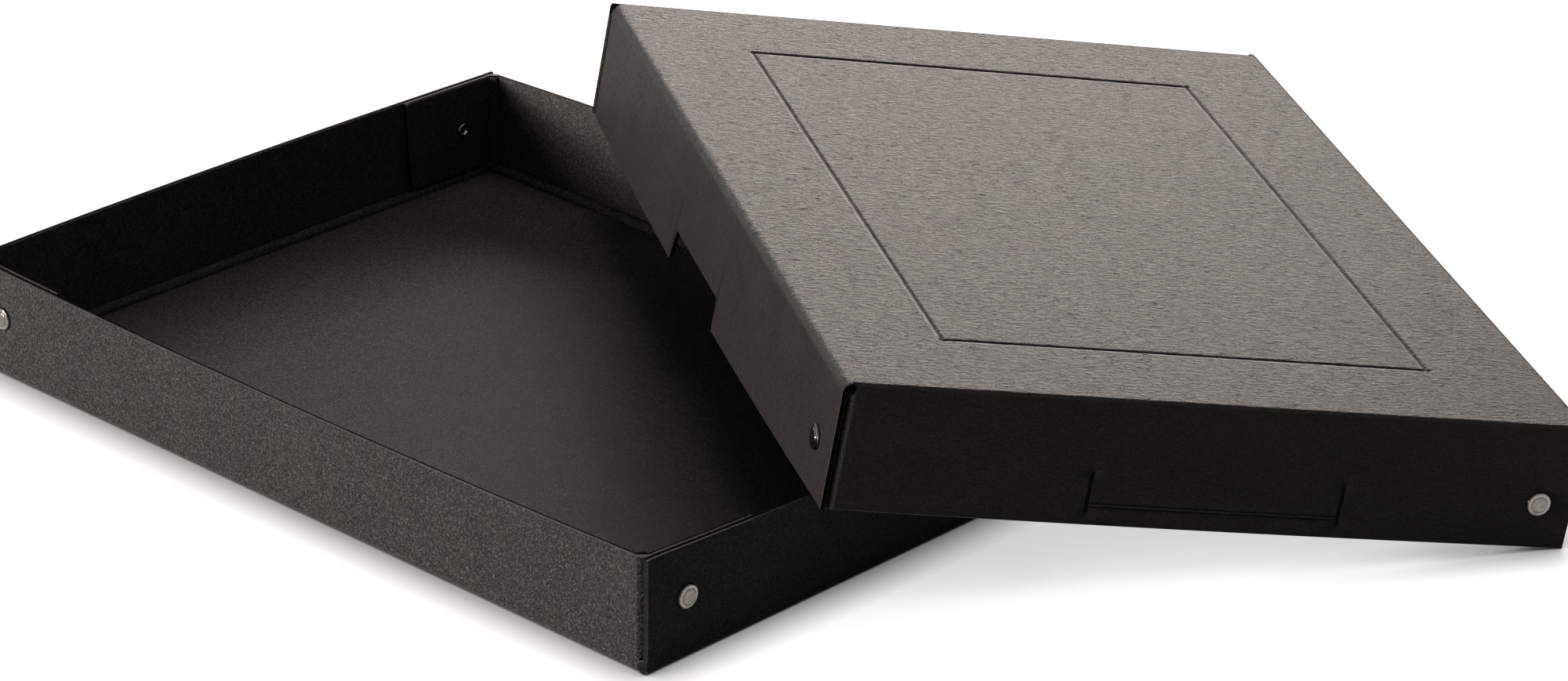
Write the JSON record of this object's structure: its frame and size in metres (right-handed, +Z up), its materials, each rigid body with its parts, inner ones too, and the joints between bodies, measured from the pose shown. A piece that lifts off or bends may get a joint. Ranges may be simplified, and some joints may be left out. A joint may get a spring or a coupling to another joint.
{
  "type": "archive box",
  "caption": "Riveted document box of dark dyed-through board: an open shallow tray with its slightly larger lid lying off it, one side on the tray and one side down.",
  "frame": {"origin": "middle of the tray's underside, on the surface that the box stands on", "axes": "+X along the tray's short walls, towards the lid; +Y along its long walls; +Z up, out of the tray's open top"},
  "size_m": [0.4456, 0.4642, 0.0823],
  "materials": {
    "board": "matt, dyed through, with a faint fibre grain",
    "rivet": "polished nickel plate"
  },
  "bodies": {
    "tray": {"tray_board": "board", "tray_rivet_front_right": "rivet", "tray_rivet_back_right": "rivet", "tray_rivet_back_left": "rivet", "tray_rivet_front_left": "rivet"},
    "lid": {"lid_board": "board", "lid_rivet_front": "rivet", "lid_rivet_left": "rivet", "lid_rivet_back": "rivet", "lid_rivet_right": "rivet"}
  },
  "joints": [
    {"name": "lid_lift", "type": "slide", "parent": "tray", "child": "lid", "axis": [0, 0, 1], "range_m": [0, 0.15]}
  ]
}
